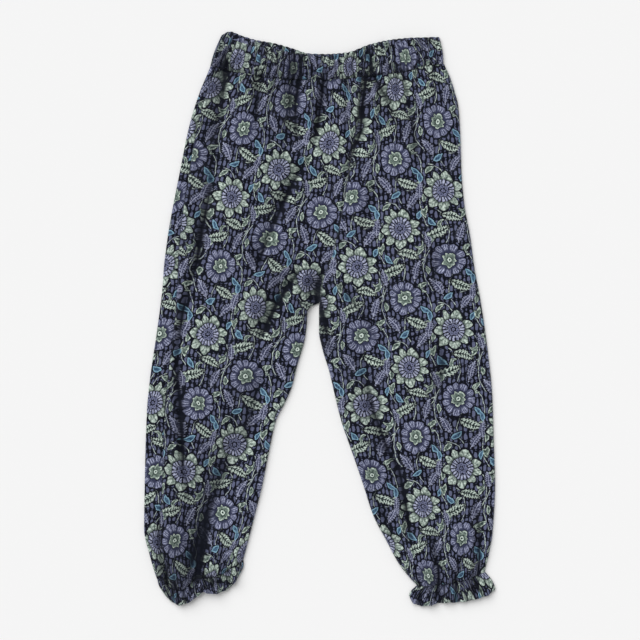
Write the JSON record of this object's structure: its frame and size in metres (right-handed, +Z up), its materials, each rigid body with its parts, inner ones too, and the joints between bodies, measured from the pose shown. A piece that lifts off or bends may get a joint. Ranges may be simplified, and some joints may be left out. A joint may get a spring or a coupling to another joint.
{
  "type": "harem pants",
  "caption": "Child's pull-on harem pants of printed cotton, laid flat: gathered elastic waistband, loose tapering legs and ruffled elastic hems.",
  "frame": {"origin": "middle of the whole garment's outline, on the surface it lies on", "axes": "+Y along the garment from the hems up to the waistband, +Z up from the surface, -X towards the wearer's right leg"},
  "size_m": [0.3513, 0.5743, 0.009],
  "materials": {
    "printed_cotton": "soft woven cotton, navy ground with lilac, sage and turquoise flowers and leaves"
  },
  "bodies": {
    "root": {"waistband": "printed_cotton", "front_right_leg": "printed_cotton", "front_left_leg": "printed_cotton", "back_right_leg": "printed_cotton", "back_left_leg": "printed_cotton", "right_hem_ruffle": "printed_cotton", "left_hem_ruffle": "printed_cotton"}
  },
  "joints": []
}
